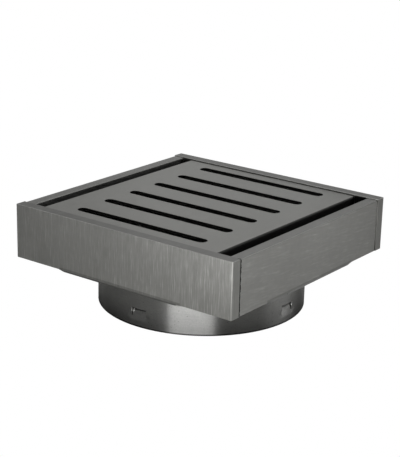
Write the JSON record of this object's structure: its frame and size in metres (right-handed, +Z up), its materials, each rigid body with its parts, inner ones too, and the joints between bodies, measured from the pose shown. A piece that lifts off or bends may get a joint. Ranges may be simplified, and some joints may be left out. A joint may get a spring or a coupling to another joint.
{
  "type": "floor waste grate",
  "caption": "Square double-skin floor waste tray with a slotted lift-out grate and a round drawn outlet spigot.",
  "frame": {"origin": "centre of the outlet's lower rim, on which the part stands", "axes": "+Z up along the outlet's axis to the rim, +X along the grate's slots, -Y towards the wall that faces left in the picture"},
  "size_m": [0.11, 0.11, 0.043],
  "materials": {
    "tray_steel": "brushed gunmetal",
    "outlet_steel": "smooth drawn gunmetal",
    "grate_steel": "fine brushed gunmetal"
  },
  "bodies": {
    "root": {"tray": "tray_steel", "outlet": "outlet_steel", "grate": "grate_steel"}
  },
  "joints": []
}
